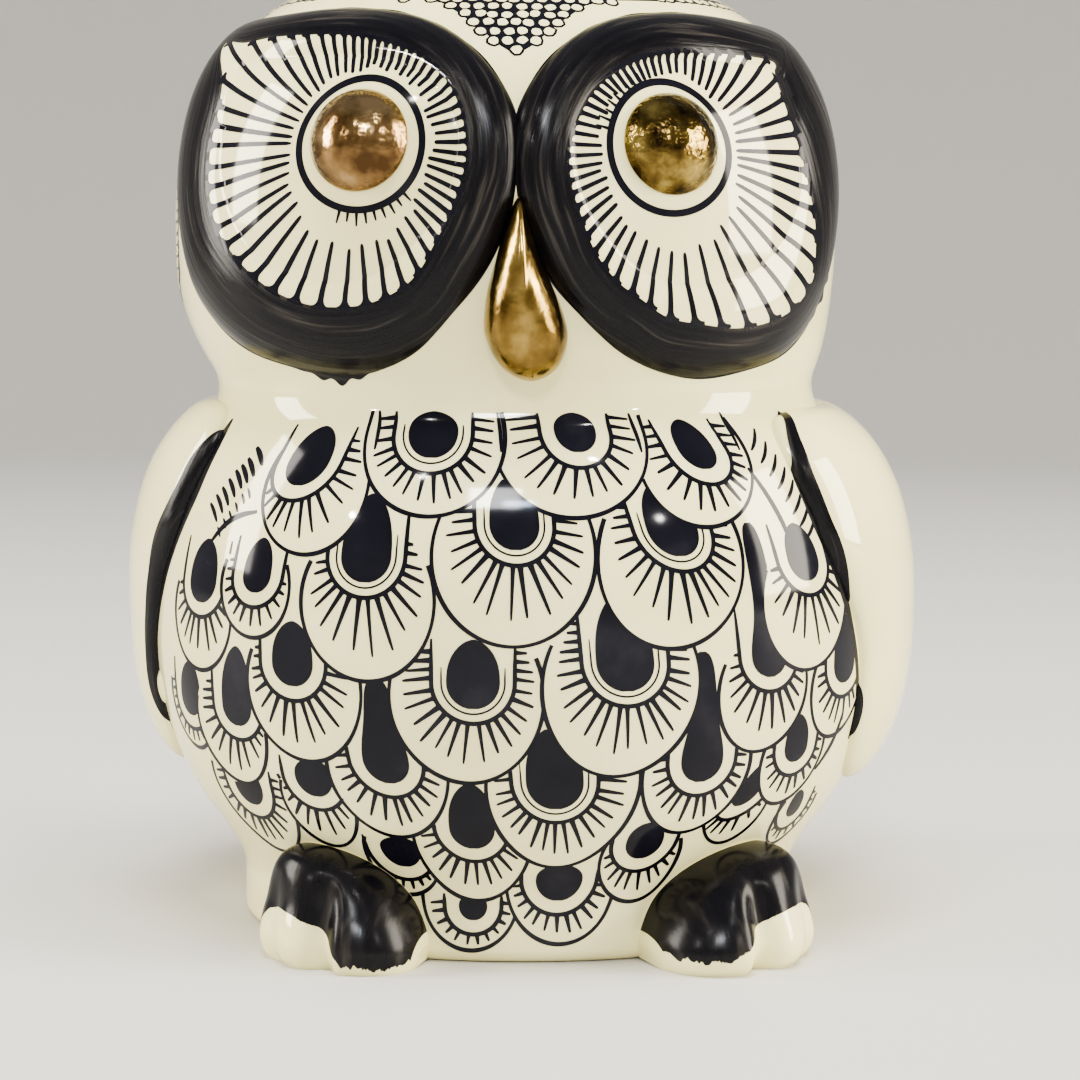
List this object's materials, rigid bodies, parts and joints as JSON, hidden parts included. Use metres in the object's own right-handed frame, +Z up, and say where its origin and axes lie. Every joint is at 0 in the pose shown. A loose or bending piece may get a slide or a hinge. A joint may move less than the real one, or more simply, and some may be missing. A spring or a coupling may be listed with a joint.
{
  "type": "owl figurine",
  "caption": "Hollow glazed earthenware owl with black printed feathers, raised eye rims, gold eyes and beak, and a soft stopper in its base.",
  "frame": {"origin": "middle of the outer box, on the surface the base stands on", "axes": "+Z up, the owl faces -Y, +X towards the owl's left wing"},
  "size_m": [0.1236, 0.1, 0.148],
  "materials": {
    "glaze": "cream transparent glaze over pale earthenware, high gloss",
    "ink": "brushed and printed black under the glaze, high gloss",
    "gold": "fired gold lustre, mirror-like with slight brush streaks",
    "stopper": "matt tan soft rubber"
  },
  "bodies": {
    "owl": {"torso_shell": "glaze", "head_shell": "glaze", "left_wing": "glaze", "right_wing": "glaze", "left_foot": "ink", "right_foot": "ink", "left_eye_surround": "ink", "right_eye_surround": "ink", "left_eye_dome": "gold", "right_eye_dome": "gold", "beak": "gold"},
    "stopper": {"base_stopper": "stopper"}
  },
  "joints": [
    {"name": "stopper_pull", "type": "slide", "parent": "owl", "child": "stopper", "axis": [0, 0, -1], "range_m": [0, 0.014]}
  ]
}
